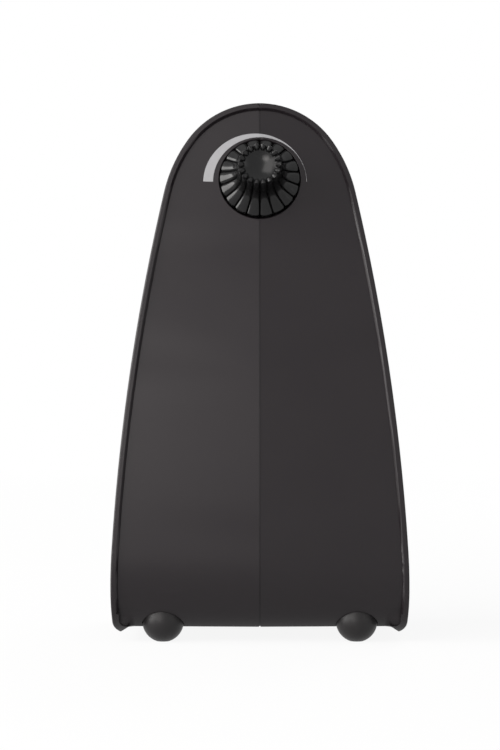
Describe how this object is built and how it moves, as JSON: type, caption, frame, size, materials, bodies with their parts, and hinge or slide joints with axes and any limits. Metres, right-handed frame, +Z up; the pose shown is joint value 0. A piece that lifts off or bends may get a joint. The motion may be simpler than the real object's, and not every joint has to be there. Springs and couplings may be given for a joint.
{
  "type": "electric can opener",
  "caption": "Upright electric can opener: tapered black body on ball feet, fluted speed dial on the back, press-down cutting lever, toothed feed wheel and magnet arm on the front.",
  "frame": {"origin": "on the table under the middle of the machine's bounding box", "axes": "+Z up, -Y out of the back with the dial, +Y out of the cutting side, +X to the right seen from the back"},
  "size_m": [0.1174, 0.1279, 0.215],
  "materials": {
    "casing_abs": "satin black ABS, fine grain",
    "knob_abs": "satin-gloss black",
    "panel_abs": "matte black ABS",
    "foot_rubber": "smooth black rubber",
    "bright_steel": "bright brushed steel",
    "zinc_steel": "zinc plated",
    "lamination_steel": "stacked laminations, oiled",
    "chrome_steel": "polished chrome plate",
    "bronze": "sintered bronze",
    "copper_wire": "enamelled copper winding",
    "gear_nylon": "natural nylon",
    "board_laminate": "green laminate",
    "dark_plastic": "black moulded nylon",
    "white_plastic": "white moulded nylon",
    "magnet_ferrite": "dark ferrite"
  },
  "bodies": {
    "housing": {"base_plate": "panel_abs", "base_plate_screws": "zinc_steel", "board_parts": "dark_plastic", "board_screws": "zinc_steel", "can_guide_post": "chrome_steel", "coil_bobbin": "white_plastic", "control_board": "board_laminate", "cord_gland": "dark_plastic", "foot_front_left": "foot_rubber", "foot_front_right": "foot_rubber", "foot_rear_left": "foot_rubber", "foot_rear_right": "foot_rubber", "foot_screws": "zinc_steel", "front_panel": "panel_abs", "gear_axles": "bright_steel", "gear_plate_front": "zinc_steel", "gear_plate_rear": "zinc_steel", "left_casing": "casing_abs", "motor_bracket_front": "zinc_steel", "motor_bracket_rear": "zinc_steel", "motor_bushes": "bronze", "motor_coil": "copper_wire", "motor_screws": "zinc_steel", "motor_stator": "lamination_steel", "panel_screws": "zinc_steel", "plate_screws": "zinc_steel", "potentiometer_body": "zinc_steel", "potentiometer_nut": "zinc_steel", "right_casing": "casing_abs", "seam_bolts": "zinc_steel", "shaft_bushes": "bronze", "spacers": "zinc_steel", "switch_body": "dark_plastic", "switch_screws": "zinc_steel", "switch_terminals": "bronze", "wear_plate": "bright_steel", "wear_plate_screws": "zinc_steel"},
    "dial": {"dial_knob": "knob_abs", "potentiometer_shaft": "bright_steel"},
    "lever": {"lever_arm": "chrome_steel", "lever_grip": "knob_abs", "lever_shaft": "bright_steel", "switch_cam": "white_plastic", "cutter_stud": "bright_steel", "shaft_ring": "zinc_steel", "magnet_pin": "bright_steel"},
    "cutter": {"cutter_wheel": "bright_steel"},
    "magnet_arm": {"magnet_bracket": "chrome_steel", "magnet_cup": "chrome_steel", "magnet": "magnet_ferrite"},
    "feed_drive": {"drive_wheel": "bright_steel", "drive_shaft": "bright_steel", "output_gear": "gear_nylon", "drive_wheel_nut": "zinc_steel"},
    "gear_pair_2": {"gear_2": "gear_nylon"},
    "gear_pair_1": {"gear_1": "gear_nylon"},
    "rotor": {"rotor_shaft": "bright_steel", "rotor_core": "lamination_steel", "motor_fan": "dark_plastic"},
    "switch_button": {"switch_plunger": "white_plastic"}
  },
  "joints": [
    {"name": "dial_turn", "type": "hinge", "parent": "housing", "child": "dial", "pos_m": [0, -0.04106, 0.184], "axis": [0, -0.9695, 0.2451], "range_deg": [-90, 90]},
    {"name": "lever_press", "type": "hinge", "parent": "housing", "child": "lever", "pos_m": [0.026, 0.035, 0.185], "axis": [0, -1, 0], "range_deg": [0, 15], "stiffness_Nm_per_rad": 0.15, "springref_deg": -22.92},
    {"name": "cutter_spin", "type": "hinge", "parent": "lever", "child": "cutter", "pos_m": [0, 0.0448, 0.1851], "axis": [0, -1, 0], "continuous": true},
    {"name": "magnet_swing", "type": "hinge", "parent": "lever", "child": "magnet_arm", "pos_m": [0, 0.0455, 0.1995], "axis": [1, 0, 0], "range_deg": [0, 35]},
    {"name": "rotor_spin", "type": "hinge", "parent": "housing", "child": "rotor", "pos_m": [0, -0.01, 0.08756], "axis": [0, -1, 0], "continuous": true},
    {"name": "gear_1_spin", "type": "hinge", "parent": "housing", "child": "gear_pair_1", "pos_m": [0, 0.013, 0.10802], "axis": [0, -1, 0], "continuous": true},
    {"name": "gear_2_spin", "type": "hinge", "parent": "housing", "child": "gear_pair_2", "pos_m": [0, 0.02, 0.1329], "axis": [0, -1, 0], "continuous": true},
    {"name": "feed_spin", "type": "hinge", "parent": "housing", "child": "feed_drive", "pos_m": [0, 0.035, 0.163], "axis": [0, -1, 0], "continuous": true},
    {"name": "switch_press", "type": "slide", "parent": "housing", "child": "switch_button", "axis": [0, 0, -1], "range_m": [0, 0.0023]}
  ],
  "couplings": [
    {"joint": "gear_1_spin", "follows": "rotor_spin", "ratio": -0.21429},
    {"joint": "gear_2_spin", "follows": "rotor_spin", "ratio": 0.051429},
    {"joint": "feed_spin", "follows": "rotor_spin", "ratio": -0.012857},
    {"joint": "switch_press", "follows": "lever_press", "m_per_rad": 0.0087854}
  ]
}
